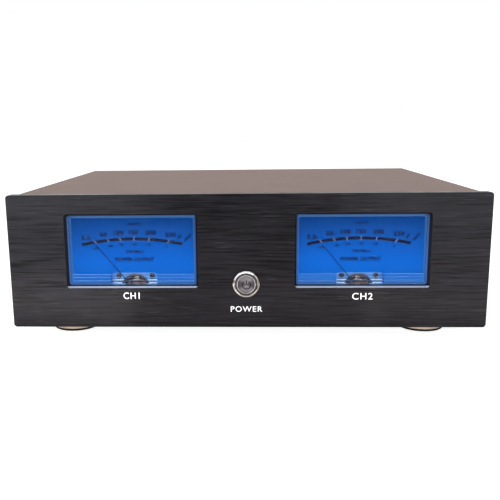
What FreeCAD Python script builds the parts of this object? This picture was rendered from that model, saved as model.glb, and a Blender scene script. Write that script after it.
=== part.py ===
import FreeCAD, Part
import math
import os

from FreeCAD import Vector

# A two-channel power meter in a full-width equipment case, in millimetres.
# Every piece is drawn from the middle of the front panel's lower front edge, with +X to the
# right, +Y to the back and +Z up. save() then stands it on the ground, centred on the origin.

# front panel
PANEL_W = 430.0
PANEL_H = 122.0
PANEL_T = 10.0
PANEL_CORNER = 3.0
PANEL_EDGE = 0.4

# windows and the meters behind them
METER_X = 103.5
WINDOW_Z = 70.8
WINDOW_W = 117.1
WINDOW_H = 65.0
WINDOW_CORNER = 1.7
WINDOW_CHAMFER = 1.5

# case
BODY_W = 416.0
BODY_REAR = 311.0
COVER_T = 2.0
SHEET_T = 1.5
BEND_R = 3.0
BASE_Z = 2.0
REAR_FACE = 307.5
REAR_T = 2.0

# feet
FOOT_R = 21.5
FOOT_X = 168.2
FOOT_FRONT = 46.5
FOOT_REAR = 265.0
GROUND = -12.0
PAD_H = 1.9

# meter housing, from the panel's front face backwards
LENS_FACE = 3.5
LENS_W = 116.6
LENS_H = 63.6
LENS_T = 2.0
LENS_CORNER = 2.2
LENS_ROUND = 1.2
RIB_HEIGHTS = [42.1, 44.9, 47.7]
RIB_R = 0.9
HOUSING_W = 126.0
HOUSING_LOW = 10.0
HOUSING_HIGH = 112.0
HOUSING_FRONT = 12.0
HOUSING_BACK = 50.0
HOUSING_WALL = 2.0
FLANGE_W = 142.0
FLANGE_T = 2.5

# dial
DIAL_Y = 14.8
DIAL_T = 1.0
DIFFUSER_T = 3.0
CUTOUT_W = 42.0
CUTOUT_TOP = 48.0
BOARD_T = 1.6
LED_BOARD_Y = 23.0

# movement, on a staff that lies along Y
PIVOT_Z = 32.3
REST_ANGLE = -39.3
STAFF_R = 0.5
POINTER_L = 62.0
POINTER_W = 0.8
POINTER_T = 0.4
POINTER_Y = 13.0
ARM_Y = 19.0
ARM_L = 8.5
STEP_L = 14.5
YOKE_R = 13.0
YOKE_BORE = 11.2
YOKE_FRONT = 22.0
YOKE_BACK = 36.0
CORE_R = 8.2
COIL_W = 20.6
COIL_H = 5.0
COIL_T = 1.1
COIL_FRONT = 20.6
COIL_BACK = 37.4
PLATE_Y = 20.0
PLATE_T = 1.2
PLATE_HOLE_R = 13.7
BRIDGE_Y = 15.0
BRIDGE_X = 20.4
LEG_W = 4.0
TAB_H = 1.4
BRIDGE_SCREW_X = 15.6
BRIDGE_SCREW_Z = 11.7
RUNNING = 0.05

# switch
SWITCH_Z = 40.6
BEZEL_R = 12.3
BEZEL_BORE = 9.8
BARREL_R = 11.0
CAP_R = 8.5

# connections on the back
INLET_X = 150.0
INLET_Z = 36.0
POST_X = [-160.0, -140.95, -100.0, -80.95]
POST_NAMES = ["left_minus_cap", "left_plus_cap", "right_minus_cap", "right_plus_cap"]
POST_Z = 60.0
PLUG_BORE_R = 2.02
POST_R = 3.6
LEVEL_X = [-150.475, -90.475]
LEVEL_Z = 88.0

# the whole piece ends at the back of the post caps and at the front of the switch cap
REAR_END = 330.0
FRONT_END = -2.4

X = Vector(1, 0, 0)
Y = Vector(0, 1, 0)
Z = Vector(0, 0, 1)


# ---- shapes used by several pieces

def block(x0, x1, y0, y1, z0, z1):
    return Part.makeBox(x1 - x0, y1 - y0, z1 - z0, Vector(x0, y0, z0))


def rod(radius, y0, y1, x, z):
    """A round bar along Y."""
    return Part.makeCylinder(radius, y1 - y0, Vector(x, y0, z), Y)


def pillar(radius, z0, z1, x, y):
    """A round bar along Z."""
    return Part.makeCylinder(radius, z1 - z0, Vector(x, y, z0), Z)


def crossbar(radius, y, z):
    """A round bar along X, longer than the case is wide."""
    return Part.makeCylinder(radius, BODY_W + 2, Vector(-BODY_W / 2 - 1, y, z), X)


def along(solid, axis):
    """The straight edges of a solid that run along an axis."""
    return [e for e in solid.Edges if abs(e.tangentAt(e.FirstParameter).dot(axis)) > 0.999]


def slab(width, height, corner, y0, y1, x, z):
    """A plate facing forwards, centred on x and z, with rounded corners."""
    plain = block(x - width / 2, x + width / 2, y0, y1, z - height / 2, z + height / 2)
    return plain.makeFillet(corner, along(plain, Y))


def turned(profile, centre, axis):
    """A solid of revolution from a closed outline of (radius, distance along the axis)."""
    points = [centre + X * r + axis * d for r, d in profile]
    face = Part.Face(Part.makePolygon(points + points[:1]))
    return face.revolve(centre, axis, 360)


def around(radius, degrees):
    """A step from the middle of a circle that faces forwards to a point on it."""
    angle = math.radians(degrees)
    return Vector(radius * math.cos(angle), 0, radius * math.sin(angle))


def screw(head, inward, head_r, head_h, shank_r, length):
    """A pan-head screw; head is the middle of the face that the head bears on."""
    top = Part.makeCylinder(head_r, head_h, head, inward * -1)
    shank = Part.makeCylinder(shank_r, length, head, inward)
    return top.fuse(shank)


def channel(width, closed_z, open_z, y0, y1, thickness, bend):
    """Sheet folded to a U along Y, closed at closed_z and open at open_z."""
    low, high = min(closed_z, open_z), max(closed_z, open_z)
    inward = thickness if open_z > closed_z else -thickness

    def bent(half, z_closed, radius):
        z0, z1 = (z_closed, high) if inward > 0 else (low, z_closed)
        solid = block(-half, half, y0, y1, z0, z1)
        edges = [e for e in along(solid, Y) if abs(e.CenterOfMass.z - z_closed) < 0.01]
        return solid.makeFillet(radius, edges)

    outer = bent(width / 2, closed_z, bend)
    inner = bent(width / 2 - thickness, closed_z + inward, bend - thickness)
    return outer.cut(inner)


def save(name, shape):
    """Stands a piece on the ground, centred front to back, and writes it."""
    placed = shape.copy()
    placed.translate(Vector(0, -(FRONT_END + REAR_END) / 2, -GROUND))
    placed.exportStep(os.path.join("parts", name + ".step"))


# ---- where things repeat

def side_screw_points():
    return [(y, 15.0) for y in (45.0, 160.0, 275.0)]


def rear_screw_points():
    return [(x, z) for x in (-185.0, 0.0, 185.0) for z in (10.0, 111.0)]


def front_screw_points():
    return [(x, z) for x in (-190.0, 190.0) for z in (20.0, 100.0)] + [(-24.0, 96.0), (24.0, 96.0)]


def meter_screw_points(x):
    return [(x + side * 67.0, z) for side in (-1, 1) for z in (20.0, 102.0)]


def dial_pin_points(x):
    return [(x + side * 55.0, z) for side in (-1, 1) for z in (18.0, 106.0)]


def bridge_screw_points(x):
    return [(x + side * BRIDGE_SCREW_X, PIVOT_Z + up * BRIDGE_SCREW_Z) for side in (-1, 1) for up in (-1, 1)]


def foot_points():
    return [(x, y) for x in (-FOOT_X, FOOT_X) for y in (FOOT_FRONT, FOOT_REAR)]


def board_points():
    return [(x, y) for x in (-62.0, 82.0) for y in (98.0, 202.0)]


# ---- case

def front_panel():
    panel = slab(PANEL_W, PANEL_H, PANEL_CORNER, 0, PANEL_T, 0, PANEL_H / 2)
    rim = [e for e in panel.Edges if e.BoundBox.YMax < 0.01]
    panel = panel.makeChamfer(PANEL_EDGE, rim)
    for x in (-METER_X, METER_X):
        panel = panel.cut(slab(WINDOW_W, WINDOW_H, WINDOW_CORNER, -1, PANEL_T + 1, x, WINDOW_Z))
    inner = PANEL_W / 2 - 5
    rims = [
        e for e in panel.Edges
        if e.BoundBox.YMax < 0.01 and abs(e.CenterOfMass.x) < inner and 6 < e.CenterOfMass.z < PANEL_H - 6
    ]
    panel = panel.makeChamfer(WINDOW_CHAMFER, rims)
    holes = [rod(BARREL_R + 0.1, -1, PANEL_T + 1, 0, SWITCH_Z)]
    holes += [rod(1.55, 4.0, PANEL_T + 1, x, z) for x, z in front_screw_points()]
    for meter in (-METER_X, METER_X):
        holes += [rod(1.55, 4.0, PANEL_T + 1, x, z) for x, z in meter_screw_points(meter)]
    return panel.cut(holes)


def top_cover():
    cover = channel(BODY_W, PANEL_H, BASE_Z, PANEL_T, BODY_REAR, COVER_T, BEND_R)
    lip = block(-BODY_W / 2 + COVER_T, BODY_W / 2 - COVER_T, 304.0, 305.5, 104.0, PANEL_H - COVER_T)
    cover = cover.fuse(lip)
    holes = [crossbar(1.7, y, z) for y, z in side_screw_points()]
    holes += [rod(1.55, 303.0, 306.0, x, z) for x, z in rear_screw_points() if z > 50]
    return cover.cut(holes)


def base_pan():
    half = BODY_W / 2 - COVER_T - 0.3
    low = BASE_Z + SHEET_T
    pan = channel(2 * half, BASE_Z, 28.0, PANEL_T, REAR_FACE - REAR_T, SHEET_T, 2.5)
    inside = half - SHEET_T
    front = block(-inside, inside, PANEL_T, PANEL_T + SHEET_T, low, 110.0)
    for x in (-METER_X, METER_X):
        gap = FLANGE_W / 2 + 1.5
        front = front.cut(block(x - gap, x + gap, PANEL_T - 1, PANEL_T + 3, HOUSING_LOW - 0.5, 111.0))
    rear = block(-inside, inside, REAR_FACE - REAR_T - SHEET_T, REAR_FACE - REAR_T, low, 16.0)
    pan = pan.fuse([front, rear])
    pan = pan.fuse([pillar(4.0, low, low + 2.5, x, y) for x, y in foot_points()])
    pan = pan.fuse([pillar(3.0, low, low + 8.0, x, y) for x, y in board_points()])
    holes = [crossbar(1.55, y, z) for y, z in side_screw_points()]
    holes += [rod(1.7, PANEL_T - 1, PANEL_T + 3, x, z) for x, z in front_screw_points()]
    holes += [rod(1.55, 303.0, 306.0, x, z) for x, z in rear_screw_points() if z < 50]
    holes += [pillar(2.05, BASE_Z - 1, low + 3, x, y) for x, y in foot_points()]
    holes.append(rod(BARREL_R + 0.1, PANEL_T - 1, PANEL_T + 3, 0, SWITCH_Z))
    return pan.cut(holes)


def rear_panel():
    half = BODY_W / 2 - COVER_T - 0.4
    panel = block(-half, half, REAR_FACE - REAR_T, REAR_FACE, BASE_Z, PANEL_H - COVER_T - 0.2)
    panel = panel.makeFillet(2.0, along(panel, Y))
    holes = [slab(27.4, 20.2, 2.0, REAR_FACE - 5, REAR_FACE + 5, INLET_X, INLET_Z)]
    holes += [rod(5.05, REAR_FACE - 5, REAR_FACE + 5, x, POST_Z) for x in POST_X]
    holes += [rod(3.6, REAR_FACE - 5, REAR_FACE + 5, x, LEVEL_Z) for x in LEVEL_X]
    holes += [rod(1.7, REAR_FACE - 5, REAR_FACE + 5, x, z) for x, z in rear_screw_points()]
    return panel.cut(holes)


def case_screws():
    screws = []
    for side in (-1, 1):
        for y, z in side_screw_points():
            screws.append(screw(Vector(side * BODY_W / 2, y, z), X * -side, 2.8, 1.9, 1.5, 6.0))
    for x, z in rear_screw_points():
        screws.append(screw(Vector(x, REAR_FACE, z), Y * -1, 2.8, 1.9, 1.5, 6.0))
    return Part.makeCompound(screws)


def front_panel_screws():
    return Part.makeCompound(
        [screw(Vector(x, PANEL_T + SHEET_T, z), Y * -1, 2.8, 1.9, 1.5, 7.0) for x, z in front_screw_points()]
    )


# ---- feet

def foot(x, y):
    """A turned metal cup with a rubber pad let into its underside and a counterbore for its screw."""
    low = GROUND + PAD_H
    outline = [
        (2.2, BASE_Z), (FOOT_R - 0.6, BASE_Z), (FOOT_R, BASE_Z - 0.6), (FOOT_R, low + 0.4),
        (FOOT_R - 0.4, low), (18.05, low), (18.05, low + 1.5), (5.0, low + 1.5), (5.0, -4.0), (2.2, -4.0),
    ]
    return turned(outline, Vector(x, y, 0), Z)


def foot_pads():
    low = GROUND + PAD_H
    outline = [
        (6.0, GROUND), (FOOT_R - 0.5, GROUND), (FOOT_R, GROUND + 0.5), (FOOT_R, low),
        (18.0, low), (18.0, low + 1.5), (6.0, low + 1.5),
    ]
    return Part.makeCompound([turned(outline, Vector(x, y, 0), Z) for x, y in foot_points()])


def foot_screws():
    return Part.makeCompound([screw(Vector(x, y, -4.0), Z, 3.6, 2.6, 2.0, 10.0) for x, y in foot_points()])


# ---- meter housing

def meter_case(x):
    """The moulded back box: flange ears, pillars for the dial and bosses for the movement."""
    middle = (HOUSING_LOW + HOUSING_HIGH) / 2
    height = HOUSING_HIGH - HOUSING_LOW
    back = HOUSING_BACK - HOUSING_WALL
    case = slab(HOUSING_W, height, 3.0, HOUSING_FRONT, HOUSING_BACK, x, middle)
    ears = slab(FLANGE_W, height - 4, 3.0, HOUSING_FRONT, HOUSING_FRONT + FLANGE_T, x, middle)
    hollow = slab(
        HOUSING_W - 2 * HOUSING_WALL, height - 2 * HOUSING_WALL, 1.5, HOUSING_FRONT - 1, back, x, middle
    )
    case = case.fuse(ears).cut(hollow)
    added = [rod(3.2, PLATE_Y + PLATE_T, back, px, pz) for px, pz in bridge_screw_points(x)]
    for px, pz in dial_pin_points(x):
        added.append(rod(3.4, LED_BOARD_Y + BOARD_T, back, px, pz))
        added.append(rod(2.2, DIAL_Y + DIAL_T + DIFFUSER_T, LED_BOARD_Y + BOARD_T, px, pz))
        added.append(rod(1.2, DIAL_Y, DIAL_Y + DIAL_T + DIFFUSER_T, px, pz))
    case = case.fuse(added)
    holes = [rod(1.7, HOUSING_FRONT - 1, HOUSING_FRONT + 5, px, pz) for px, pz in meter_screw_points(x)]
    holes += [rod(1.1, PLATE_Y, PLATE_Y + 12, px, pz) for px, pz in bridge_screw_points(x)]
    holes.append(rod(4.0 + RUNNING, back - 1, HOUSING_BACK + 1, x, PIVOT_Z))
    return case.cut(holes)


def meter_cover(x):
    """The clear moulding: a raised window that fills the panel's opening, on a flat skirt."""
    middle = (HOUSING_LOW + HOUSING_HIGH) / 2
    raised = slab(LENS_W, LENS_H, LENS_CORNER, LENS_FACE, PANEL_T + 0.5, x, WINDOW_Z)
    rim = [e for e in raised.Edges if e.BoundBox.YMax < LENS_FACE + 0.01]
    raised = raised.makeFillet(LENS_ROUND, rim)
    skirt = slab(HOUSING_W, HOUSING_HIGH - HOUSING_LOW, 3.0, PANEL_T, HOUSING_FRONT, x, middle)
    inner_w = LENS_W - 2 * LENS_T
    inner_h = LENS_H - 2 * LENS_T
    face = LENS_FACE + LENS_T
    hollow = slab(inner_w, inner_h, 1.2, face, HOUSING_FRONT + 1, x, WINDOW_Z)
    cover = raised.fuse(skirt).cut(hollow)
    start, length = x - inner_w / 2 - 0.5, inner_w + 1.0
    ribs = [Part.makeCylinder(RIB_R, length, Vector(start, face - 0.3, z), X) for z in RIB_HEIGHTS]
    return cover.fuse(ribs)


def meter_screws():
    screws = []
    for meter in (-METER_X, METER_X):
        for x, z in meter_screw_points(meter):
            screws.append(screw(Vector(x, HOUSING_FRONT + FLANGE_T, z), Y * -1, 2.8, 1.9, 1.5, 9.5))
    return Part.makeCompound(screws)


# ---- dial and its light

def dial_sheet(x, y0, y1, margin):
    """A sheet the size of the dial, open at the bottom middle where the movement shows."""
    sheet = block(x - 60.5, x + 60.5, y0, y1, 14.0, 109.5)
    half = CUTOUT_W / 2 + margin
    notch = block(x - half, x + half, y0 - 1, y1 + 1, 5.0, CUTOUT_TOP + margin)
    notch = notch.makeFillet(3.0, along(notch, Y))
    pins = [rod(1.25, y0 - 1, y1 + 1, px, pz) for px, pz in dial_pin_points(x)]
    return sheet.cut([notch] + pins)


def dial_plate(x):
    return dial_sheet(x, DIAL_Y, DIAL_Y + DIAL_T, 0.0)


def diffuser(x):
    return dial_sheet(x, DIAL_Y + DIAL_T, DIAL_Y + DIAL_T + DIFFUSER_T, 1.0)


def led_board(x):
    """The lamp board: two rows of square emitters facing the diffuser."""
    board = block(x - 60.0, x + 60.0, LED_BOARD_Y, LED_BOARD_Y + BOARD_T, 14.0, 109.0)
    notch = block(x - 26.0, x + 26.0, LED_BOARD_Y - 1, LED_BOARD_Y + 3, 5.0, 52.0)
    pins = [rod(2.3, LED_BOARD_Y - 1, LED_BOARD_Y + 3, px, pz) for px, pz in dial_pin_points(x)]
    board = board.cut([notch] + pins)
    lamps = []
    for column in range(6):
        for z in (60.0, 90.0):
            lx = x - 45.0 + column * 18.0
            lamps.append(block(lx - 1.75, lx + 1.75, LED_BOARD_Y - 1.0, LED_BOARD_Y, z - 1.4, z + 1.4))
    return board.fuse(lamps)


# ---- movement

def yoke(x):
    """The soft-iron ring, with a lug each side that the bridges clamp."""
    ring = rod(YOKE_R, YOKE_FRONT, YOKE_BACK, x, PIVOT_Z)
    lugs = block(x - BRIDGE_X, x + BRIDGE_X, YOKE_FRONT + 0.5, YOKE_FRONT + 4.0, PIVOT_Z - 4.0, PIVOT_Z + 4.0)
    ring = ring.fuse(lugs)
    return ring.cut(rod(YOKE_BORE, YOKE_FRONT - 1, YOKE_BACK + 1, x, PIVOT_Z))


def core(x):
    """The round magnet inside the coil, held in the ring by a rib above and below."""
    magnet = rod(CORE_R, YOKE_FRONT + 0.5, YOKE_BACK - 0.5, x, PIVOT_Z)
    ribs = block(x - 2.0, x + 2.0, 27.0, 31.0, PIVOT_Z - 13.0, PIVOT_Z + 13.0)
    return magnet.fuse(ribs.common(rod(YOKE_BORE, 26.0, 32.0, x, PIVOT_Z)))


def front_bridge(x):
    """The plate around the coil, with a strap across the front that carries the staff's jewel.

    The strap stands on two legs, and a tab folded inwards from each leg stiffens it.
    """
    plate = block(x - 24.0, x + 24.0, PLATE_Y, PLATE_Y + PLATE_T, 14.0, 51.0)
    plate = plate.makeFillet(2.0, along(plate, Y))
    plate = plate.cut(rod(PLATE_HOLE_R, PLATE_Y - 1, PLATE_Y + 3, x, PIVOT_Z))
    strap = block(x - BRIDGE_X, x + BRIDGE_X, BRIDGE_Y, BRIDGE_Y + 1.4, PIVOT_Z - 3.0, PIVOT_Z + 3.0)
    leg_top = PIVOT_Z + 5.1
    added = [strap]
    for side in (-1, 1):
        outer, inner, tab_end = (x + side * d for d in (BRIDGE_X, BRIDGE_X - LEG_W, 12.6))
        left, right = min(outer, inner), max(outer, inner)
        added.append(block(left, right, BRIDGE_Y, YOKE_FRONT + 0.5, PIVOT_Z - 6.0, leg_top))
        left, right = min(outer, tab_end), max(outer, tab_end)
        added.append(block(left, right, BRIDGE_Y, PLATE_Y, leg_top - TAB_H, leg_top))
    bridge = plate.fuse(added)
    holes = [rod(1.3, PLATE_Y - 1, PLATE_Y + 3, px, pz) for px, pz in bridge_screw_points(x)]
    holes.append(rod(STAFF_R + RUNNING, BRIDGE_Y - 1, BRIDGE_Y + 2, x, PIVOT_Z))
    return bridge.cut(holes)


def rear_bridge(x):
    """The strap behind the coil that carries the staff's other jewel."""
    strap = block(x - BRIDGE_X, x + BRIDGE_X, 40.0, 41.4, PIVOT_Z - 3.0, PIVOT_Z + 3.0)
    legs = [
        block(x + a, x + a + LEG_W, YOKE_FRONT + 4.0, 41.4, PIVOT_Z - 4.0, PIVOT_Z + 4.0)
        for a in (-BRIDGE_X, BRIDGE_X - LEG_W)
    ]
    return strap.fuse(legs).cut(rod(STAFF_R + RUNNING, 39.0, 42.0, x, PIVOT_Z))


def coil(x):
    """The wound rectangular frame that turns around the magnet."""
    half = COIL_W / 2
    outer = block(x - half, x + half, COIL_FRONT, COIL_BACK, PIVOT_Z - COIL_H / 2, PIVOT_Z + COIL_H / 2)
    outer = outer.makeFillet(1.4, along(outer, Z))
    half -= COIL_T
    inner = block(x - half, x + half, COIL_FRONT + 1.4, COIL_BACK - 1.4, PIVOT_Z - COIL_H, PIVOT_Z + COIL_H)
    return at_rest(outer.cut(inner), x)


def at_rest(upright, x):
    """Turns a piece of the movement from mid-scale to where the pointer lies with no signal."""
    return upright.rotated(Vector(x, 0, PIVOT_Z), Y, REST_ANGLE)


def pointer(x):
    """Staff, needle and tail weight. The needle steps forward through the dial's opening."""
    tip = PIVOT_Z + POINTER_L
    near, far = POINTER_Y, POINTER_Y + POINTER_T
    low, high = PIVOT_Z + ARM_L, PIVOT_Z + STEP_L
    step = [(ARM_Y, PIVOT_Z), (ARM_Y, low), (near, high), (near, tip), (far, tip), (far, high + 0.2)]
    step += [(ARM_Y + POINTER_T, low + 0.2), (ARM_Y + POINTER_T, PIVOT_Z)]
    points = [Vector(x - POINTER_W / 2, y, z) for y, z in step]
    needle = Part.Face(Part.makePolygon(points + points[:1])).extrude(X * POINTER_W)
    moment = needle.Volume * (needle.CenterOfMass.z - PIVOT_Z)
    tail_arm, tail_depth, tail_height = 8.6, 2.2, 4.4
    width = moment / (tail_arm * tail_depth * tail_height)
    tail_z = PIVOT_Z - tail_arm
    weight = block(
        x - width / 2, x + width / 2, ARM_Y - tail_depth / 2, ARM_Y + tail_depth / 2,
        tail_z - tail_height / 2, tail_z + tail_height / 2,
    )
    stem = block(x - POINTER_W / 2, x + POINTER_W / 2, ARM_Y, ARM_Y + POINTER_T, tail_z, PIVOT_Z)
    front = half_staff(x, COIL_FRONT, 18.4, 17.0, 15.4)
    back = half_staff(x, COIL_BACK, 38.2, 39.4, 41.0)
    turning = needle.fuse([weight, stem, front])
    return at_rest(Part.makeCompound([turning, back]), x)


def half_staff(x, coil_end, hub_end, collet_end, tip):
    """Hub, collet and pivot at one end of the coil."""
    outline = [(0, coil_end), (2.2, coil_end), (2.2, hub_end), (1.5, hub_end), (1.5, collet_end)]
    outline += [(STAFF_R, collet_end), (STAFF_R, tip), (0, tip)]
    return turned(outline, Vector(x, 0, PIVOT_Z), Y)


def spiral(x, y, width):
    """A flat spiral strip of half circles, each larger than the last by half the pitch."""
    first, pitch, thickness, halves = 2.0, 1.6, 0.25, 5

    def side(offset):
        arcs = []
        for i in range(halves):
            radius = first + i * pitch / 2 + offset
            centre = x - (i % 2) * pitch / 2
            way = 1 if i % 2 == 0 else -1
            start = Vector(centre - way * radius, y, PIVOT_Z)
            top = Vector(centre, y, PIVOT_Z + way * radius)
            end = Vector(centre + way * radius, y, PIVOT_Z)
            arcs.append(Part.Arc(start, top, end).toShape())
        return arcs

    outer = side(thickness / 2)
    inner = side(-thickness / 2)
    caps = [
        Part.makeLine(outer[0].valueAt(outer[0].FirstParameter), inner[0].valueAt(inner[0].FirstParameter)),
        Part.makeLine(outer[-1].valueAt(outer[-1].LastParameter), inner[-1].valueAt(inner[-1].LastParameter)),
    ]
    outline = Part.Wire(Part.__sortEdges__(outer + inner + caps))
    return Part.Face(outline).extrude(Y * width)


def hairsprings(x):
    return Part.makeCompound([spiral(x, 17.2, 0.7), spiral(x, 38.5, 0.7)])


def zero_adjuster(x):
    """A slotted plug in the housing's back, with a finger that reaches the rear spring."""
    back = HOUSING_BACK
    plug = turned(
        [(0, 45.0), (6.0, 45.0), (6.0, 47.8), (4.0, 47.8), (4.0, back + 0.8), (0, back + 0.8)],
        Vector(x, 0, PIVOT_Z), Y,
    )
    slot = block(x - 5.0, x + 5.0, back - 0.4, back + 2, PIVOT_Z - 0.5, PIVOT_Z + 0.5)
    arm = block(x - 1.2, x + 1.2, 45.0, 46.4, PIVOT_Z, PIVOT_Z + 9.0)
    finger = rod(0.6, 38.6, 45.2, x, PIVOT_Z + 8.2)
    return plug.cut(slot).fuse([arm, finger])


def bridge_screws():
    screws = []
    for meter in (-METER_X, METER_X):
        for x, z in bridge_screw_points(meter):
            if z > PIVOT_Z:
                screws.append(screw(Vector(x, PLATE_Y, z), Y, 2.3, 1.4, 1.0, 8.0))
    return Part.makeCompound(screws)


# ---- switch

def switch_body():
    """The half-round bezel and its threaded barrel, bored for the cap."""
    centre = Vector(0, 0, SWITCH_Z)
    outline = [
        (BEZEL_BORE, -1.0), (BEZEL_BORE, 2.0), (9.2, 2.0), (9.2, 16.0), (3.3, 16.0), (3.3, 24.0),
        (BARREL_R, 24.0), (BARREL_R, 0), (BEZEL_R, 0), (BEZEL_R, -1.0),
    ]
    sides = Part.makePolygon([centre + X * r + Y * d for r, d in outline])
    crest = centre + X * (BEZEL_R + BEZEL_BORE) / 2 + Y * -2.2
    crown = Part.Arc(centre + X * BEZEL_R + Y * -1.0, crest, centre + X * BEZEL_BORE + Y * -1.0).toShape()
    return Part.Face(Part.Wire(sides.Edges + [crown])).revolve(centre, Y, 360)


def switch_ring():
    """The translucent ring between the bezel and the cap."""
    outline = [(8.8, -0.6), (BEZEL_BORE - 0.1, -0.6), (BEZEL_BORE - 0.1, 2.0), (8.8, 2.0)]
    return turned(outline, Vector(0, 0, SWITCH_Z), Y)


def switch_cap():
    """The cap, dished a little, on its plunger."""
    outline = [
        (0, -1.7), (7.2, -1.9), (8.0, FRONT_END), (CAP_R - 0.4, FRONT_END), (CAP_R, FRONT_END + 0.4),
        (CAP_R, 3.0), (3.0, 3.0), (3.0, 20.0), (0, 20.0),
    ]
    return turned(outline, Vector(0, 0, SWITCH_Z), Y)


def switch_nut():
    start = Vector(0, PANEL_T + SHEET_T, SWITCH_Z)
    corners = [start + around(15.0, 60 * i) for i in range(7)]
    nut = Part.Face(Part.makePolygon(corners)).extrude(Y * 3.0)
    return nut.cut(rod(BARREL_R + 0.05, PANEL_T, PANEL_T + 6, 0, SWITCH_Z))


def switch_spring():
    """The return spring around the plunger, of square wire."""
    turns, pitch, radius, wire = 4, 3.0, 4.6, 0.7
    path = Part.makeHelix(pitch, turns * pitch, radius)
    section = Part.makePolygon([
        Vector(radius - wire / 2, 0, -wire / 2), Vector(radius + wire / 2, 0, -wire / 2),
        Vector(radius + wire / 2, 0, wire / 2), Vector(radius - wire / 2, 0, wire / 2),
        Vector(radius - wire / 2, 0, -wire / 2),
    ])
    spring = Part.Wire(path).makePipeShell([section], True, True)
    spring.rotate(Vector(0, 0, 0), X, -90)
    spring.translate(Vector(0, 3.5, SWITCH_Z))
    return spring


def switch_contacts():
    """The contact block behind the barrel, with its five tags."""
    case = rod(10.0, 24.0, 33.0, 0, SWITCH_Z)
    tags = []
    for x, z in ((-5.0, 4.0), (5.0, 4.0), (0.0, 0.0), (-5.0, -4.0), (5.0, -4.0)):
        tags.append(block(x - 1.4, x + 1.4, 32.0, 40.0, SWITCH_Z + z - 0.4, SWITCH_Z + z + 0.4))
    return case.fuse(tags)


# ---- electronics

def driver_board():
    low = BASE_Z + SHEET_T + 8.0
    board = block(-68.0, 88.0, 92.0, 208.0, low, low + BOARD_T)
    return board.cut([pillar(1.6, low - 1, low + 3, x, y) for x, y in board_points()])


def board_parts():
    """Capacitors, relays, chips, terminal blocks and the heat sink, standing on the board."""
    top = BASE_Z + SHEET_T + 8.0 + BOARD_T
    parts = [pillar(8.0, top, top + 25.0, x, 180.0) for x in (-40.0, -20.0)]
    parts += [pillar(5.0, top, top + 12.0, x, 150.0) for x in (-45.0, -30.0)]
    parts += [block(x, x + 15.0, 118.0, 138.0, top, top + 16.0) for x in (0.0, 22.0)]
    parts += [block(x, x + 10.0, 104.0, 110.0, top, top + 3.5) for x in (-40.0, -15.0, 50.0)]
    parts += [block(x, x + 20.0, 195.0, 204.0, top, top + 12.0) for x in (0.0, 30.0)]
    sink = block(30.0, 70.0, 150.0, 152.5, top, top + 30.0)
    fins = [block(30.0 + 7.5 * i, 32.5 + 7.5 * i, 152.5, 168.0, top, top + 30.0) for i in range(6)]
    return Part.makeCompound(parts + [sink.fuse(fins)])


def transformer():
    """A taped toroid under a dished washer."""
    low = BASE_Z + SHEET_T
    outline = [
        (14.0, low + 4.0), (18.0, low), (42.0, low), (46.0, low + 4.0),
        (46.0, low + 34.0), (42.0, low + 38.0), (18.0, low + 38.0), (14.0, low + 34.0),
    ]
    return turned(outline, Vector(-130.0, 190.0, 0), Z)


# ---- connections

def mains_inlet():
    """The appliance inlet: a flanged box with a keyed recess for the lead's plug."""
    flange = slab(31.0, 24.0, 2.5, REAR_FACE, REAR_FACE + 2.0, INLET_X, INLET_Z)
    box = slab(27.0, 19.8, 1.5, 286.0, REAR_FACE, INLET_X, INLET_Z)
    recess = block(INLET_X - 12.2, INLET_X + 12.2, 292.5, REAR_FACE + 3, INLET_Z - 8.1, INLET_Z + 8.1)
    keyed = [e for e in along(recess, Y) if e.CenterOfMass.z > INLET_Z]
    recess = recess.makeChamfer(3.5, keyed)
    return flange.fuse(box).cut([recess, inlet_pins()])


def inlet_pins():
    """Two line pins and, above and between them, the earth pin, each with its tag behind."""
    pins = []
    for x, z in ((-7.0, -2.0), (7.0, -2.0), (0.0, 2.0)):
        px, pz = INLET_X + x, INLET_Z + z
        blade = block(px - 1.0, px + 1.0, 290.0, 308.5, pz - 2.0, pz + 2.0)
        tag = block(px - 0.4, px + 0.4, 276.0, 290.0, pz - 2.4, pz + 2.4)
        pins.append(blade.fuse(tag))
    return Part.makeCompound(pins)


def post_bases():
    """Threaded posts bored for a plug from behind, each with its nut inside the case."""
    posts = []
    for x in POST_X:
        outline = [
            (0, 296.0), (2.0, 296.0), (2.0, 301.0), (5.0, 301.0), (5.0, 304.0), (POST_R, 304.0),
            (POST_R, 322.0), (PLUG_BORE_R, 322.0), (PLUG_BORE_R, 306.0), (0, 306.0),
        ]
        posts.append(turned(outline, Vector(x, 0, POST_Z), Y))
    return Part.makeCompound(posts)


def post_insulators():
    """A shouldered bush for each post, on both sides of the panel's hole."""
    bushes = []
    inside = REAR_FACE - REAR_T
    outline = [
        (POST_R + 0.1, 304.0), (7.0, 304.0), (7.0, inside), (5.0, inside), (5.0, REAR_FACE),
        (7.6, REAR_FACE), (7.6, REAR_FACE + 2.4), (7.0, REAR_FACE + 3.0), (POST_R + 0.1, REAR_FACE + 3.0),
    ]
    for x in POST_X:
        bushes.append(turned(outline, Vector(x, 0, POST_Z), Y))
    return Part.makeCompound(bushes)


def post_cap(x):
    """The fluted cap that screws down on a post and lets the plug in from behind."""
    outline = [
        (POST_R + RUNNING, 311.0), (6.0, 311.0), (6.6, 311.6), (6.6, REAR_END - 1.0), (5.6, REAR_END),
        (2.6, REAR_END), (2.6, 322.4), (POST_R + RUNNING, 322.4),
    ]
    cap = turned(outline, Vector(x, 0, POST_Z), Y)
    flutes = []
    for i in range(6):
        step = around(7.6, 60 * i)
        flutes.append(rod(1.5, 315.0, REAR_END + 1, x + step.x, POST_Z + step.z))
    return cap.cut(flutes)


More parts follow.
